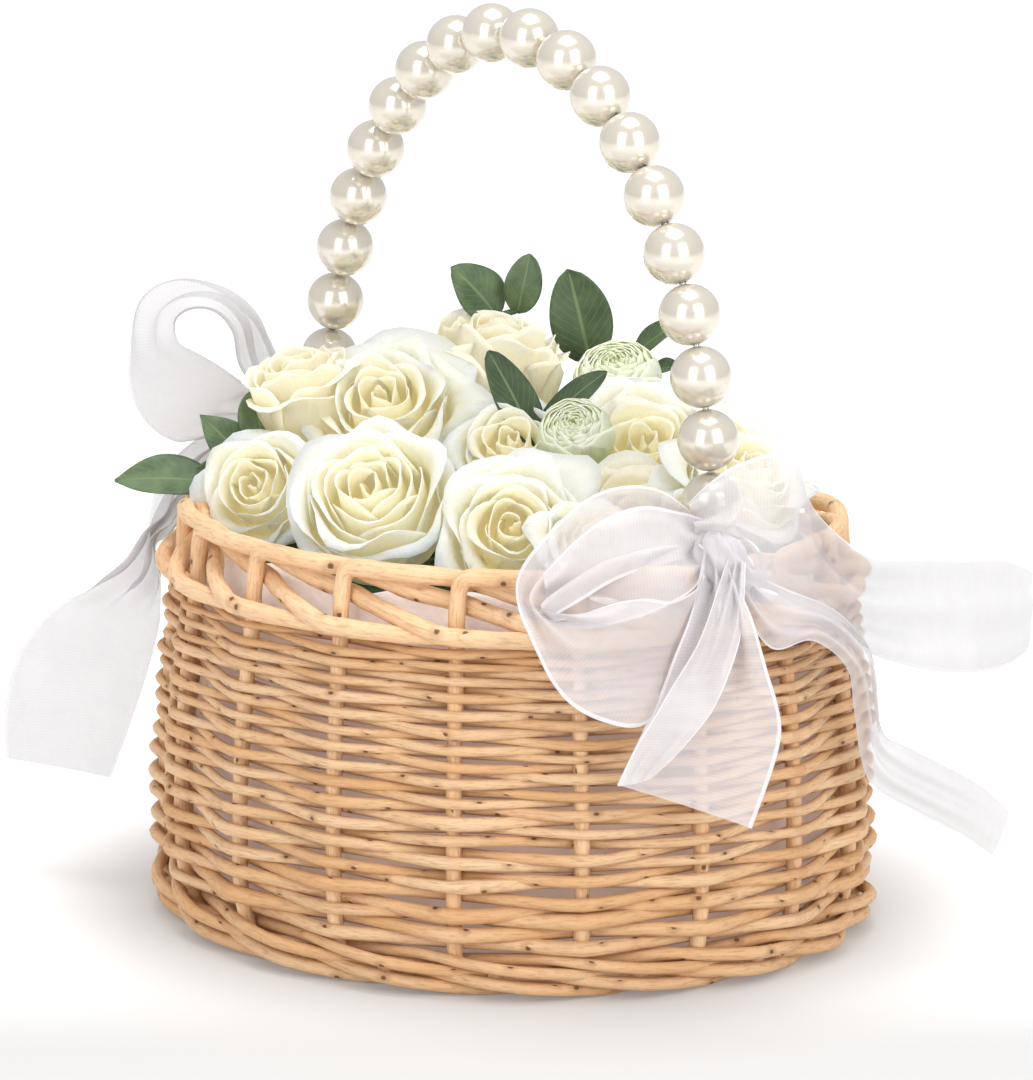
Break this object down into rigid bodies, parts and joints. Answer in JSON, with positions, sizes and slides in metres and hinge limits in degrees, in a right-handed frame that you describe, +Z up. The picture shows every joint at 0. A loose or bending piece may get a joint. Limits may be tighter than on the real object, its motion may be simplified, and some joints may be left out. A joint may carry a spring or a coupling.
{
  "type": "flower girl basket",
  "caption": "Oval willow flower girl basket with a hinged pearl arch handle, organza bows and a fill of cream roses and leaves.",
  "frame": {"origin": "centre of the basket's flat underside, on the surface that it stands on", "axes": "+Z up; +X along the basket's long axis and the handle plane, towards the foot with the larger bow; +Y across the basket"},
  "size_m": [0.2941, 0.2304, 0.2761],
  "materials": {
    "willow": "satin",
    "peeled_willow": "satin",
    "pearl": "pearlescent gloss",
    "wire": "bright",
    "rose_petal": "matt",
    "ranunculus_petal": "matt",
    "leaf": "satin",
    "organza": "sheer",
    "floral_foam": "matt",
    "liner_film": "satin"
  },
  "bodies": {
    "root": {"base": "willow", "foot_wale": "willow", "side_weave_outer": "willow", "side_weave_inner": "willow", "stakes_and_border": "peeled_willow", "border_tail_rods": "peeled_willow", "liner": "liner_film", "floral_foam": "floral_foam", "rose_front_left": "rose_petal", "rose_front_middle": "rose_petal", "rose_front_right": "rose_petal", "rose_upper_left": "rose_petal", "rose_centre": "rose_petal", "rose_back_left": "rose_petal", "rose_back_bud": "rose_petal", "rose_right": "rose_petal", "rose_right_rear": "rose_petal", "rose_right_low": "rose_petal", "rose_fill_left": "rose_petal", "rose_fill_back_left": "rose_petal", "rose_fill_back": "rose_petal", "rose_fill_back_right": "rose_petal", "rose_fill_foot": "rose_petal", "rose_fill_front_right": "rose_petal", "ranunculus_back": "ranunculus_petal", "ranunculus_middle": "ranunculus_petal", "sprig_back": "leaf", "sprig_back_right": "leaf", "sprig_far_right": "leaf", "sprig_middle": "leaf", "sprig_left": "leaf", "bow_right_knot": "organza", "bow_right_loops": "organza", "bow_right_tails": "organza", "bow_right_tail_far": "organza", "bow_right_tail_low": "organza", "bow_left_knot": "organza", "bow_left_loop": "organza", "bow_left_tail": "organza"},
    "handle": {"handle_wire": "wire", "pearl_01": "pearl", "pearl_02": "pearl", "pearl_03": "pearl", "pearl_04": "pearl", "pearl_05": "pearl", "pearl_06": "pearl", "pearl_07": "pearl", "pearl_08": "pearl", "pearl_09": "pearl", "pearl_10": "pearl", "pearl_11": "pearl", "pearl_12": "pearl", "pearl_13": "pearl", "pearl_14": "pearl", "pearl_15": "pearl", "pearl_16": "pearl", "pearl_17": "pearl", "pearl_18": "pearl", "pearl_19": "pearl", "pearl_20": "pearl"}
  },
  "joints": [
    {"name": "handle_swing", "type": "hinge", "parent": "root", "child": "handle", "pos_m": [0, 0, 0.1145], "axis": [1, 0, 0], "range_deg": [-35, 35]}
  ]
}
